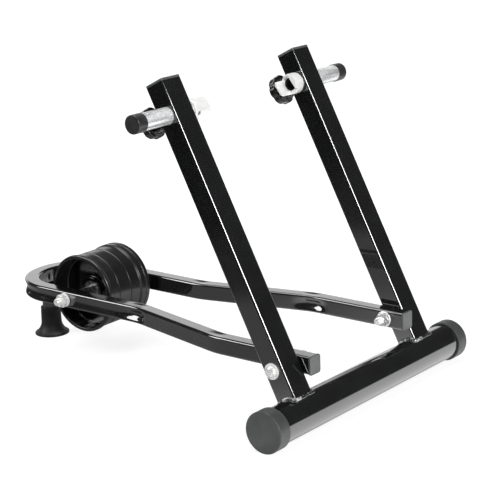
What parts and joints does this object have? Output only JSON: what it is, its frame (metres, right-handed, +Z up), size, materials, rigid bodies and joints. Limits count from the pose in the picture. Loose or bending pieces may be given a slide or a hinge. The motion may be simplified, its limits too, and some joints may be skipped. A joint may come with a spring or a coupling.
{
  "type": "wheel-on turbo trainer",
  "caption": "Folding wheel-on turbo trainer: tube rear stand, leaning uprights, sliding axle clamps with star knobs, and a U-shaped leg frame with roller drum and foot.",
  "frame": {"origin": "on the floor under the middle of the whole trainer's box", "axes": "+Z up, +Y from the cross tube towards the U-bend and its foot, X across the trainer along the axle line"},
  "size_m": [0.414, 0.5862, 0.4133],
  "materials": {
    "gloss_black_paint": "gloss",
    "painted_weld": "gloss, rough bead",
    "grey_cap_plastic": "matte",
    "black_plastic": "satin",
    "satin_black_drum": "satin",
    "galvanised_steel": "mottled zinc",
    "bright_zinc": "bright",
    "plain_steel": "satin",
    "black_rubber": "matte"
  },
  "bodies": {
    "stand": {"cross_tube": "gloss_black_paint", "cross_tube_cap_left": "grey_cap_plastic", "cross_tube_cap_right": "grey_cap_plastic", "upright_left": "gloss_black_paint", "upright_right": "gloss_black_paint", "upright_cap_left": "grey_cap_plastic", "upright_cap_right": "grey_cap_plastic", "weld_bead_left": "painted_weld", "weld_bead_right": "painted_weld", "clamp_nut_left": "gloss_black_paint", "clamp_nut_right": "gloss_black_paint", "pivot_bolt_left": "bright_zinc", "pivot_bolt_right": "bright_zinc", "pivot_washer_left": "bright_zinc", "pivot_washer_right": "bright_zinc", "pivot_spacer_left": "black_plastic", "pivot_spacer_right": "black_plastic", "pivot_flange_nut_left": "bright_zinc", "pivot_flange_nut_right": "bright_zinc"},
    "legs": {"leg_frame": "gloss_black_paint", "leg_cap_left": "grey_cap_plastic", "leg_cap_right": "grey_cap_plastic", "foot_post": "gloss_black_paint", "foot_post_weld": "painted_weld", "foot_pad": "black_rubber", "roller_axle": "bright_zinc", "bearing_spacer": "plain_steel", "axle_spacer_left": "plain_steel", "axle_spacer_right": "plain_steel", "axle_washer_left": "bright_zinc", "axle_washer_right": "bright_zinc", "axle_nut_left": "bright_zinc", "axle_nut_right": "bright_zinc"},
    "roller": {"roller_drum": "satin_black_drum", "bearing_left": "plain_steel", "bearing_right": "plain_steel"},
    "clamp_left": {"clamp_tube_left": "galvanised_steel", "clamp_tube_cap_left": "black_plastic", "axle_cup_left": "bright_zinc", "cup_grub_screw_left": "plain_steel"},
    "clamp_right": {"clamp_tube_right": "galvanised_steel", "clamp_tube_cap_right": "black_plastic", "axle_cup_right": "bright_zinc", "cup_grub_screw_right": "plain_steel"},
    "knob_left": {"lock_knob_left": "black_plastic", "lock_stud_left": "plain_steel"},
    "knob_right": {"lock_knob_right": "black_plastic", "lock_stud_right": "plain_steel"}
  },
  "joints": [
    {"name": "leg_fold", "type": "hinge", "parent": "stand", "child": "legs", "pos_m": [0, -0.2395, 0.0782], "axis": [1, 0, 0], "range_deg": [0, 58.5]},
    {"name": "roller_spin", "type": "hinge", "parent": "legs", "child": "roller", "pos_m": [0, 0.1664, 0.0836], "axis": [1, 0, 0], "continuous": true},
    {"name": "clamp_slide_left", "type": "slide", "parent": "stand", "child": "clamp_left", "axis": [1, 0, 0], "range_m": [-0.0033, 0.0454]},
    {"name": "clamp_slide_right", "type": "slide", "parent": "stand", "child": "clamp_right", "axis": [-1, 0, 0], "range_m": [-0.0033, 0.0454]},
    {"name": "knob_turn_left", "type": "hinge", "parent": "stand", "child": "knob_left", "pos_m": [-0.1288, -0.09569, 0.3717], "axis": [0, 0.8957, -0.4446], "range_deg": [0, 360]},
    {"name": "knob_turn_right", "type": "hinge", "parent": "stand", "child": "knob_right", "pos_m": [0.1288, -0.09569, 0.3717], "axis": [0, 0.8957, -0.4446], "range_deg": [0, 360]}
  ]
}
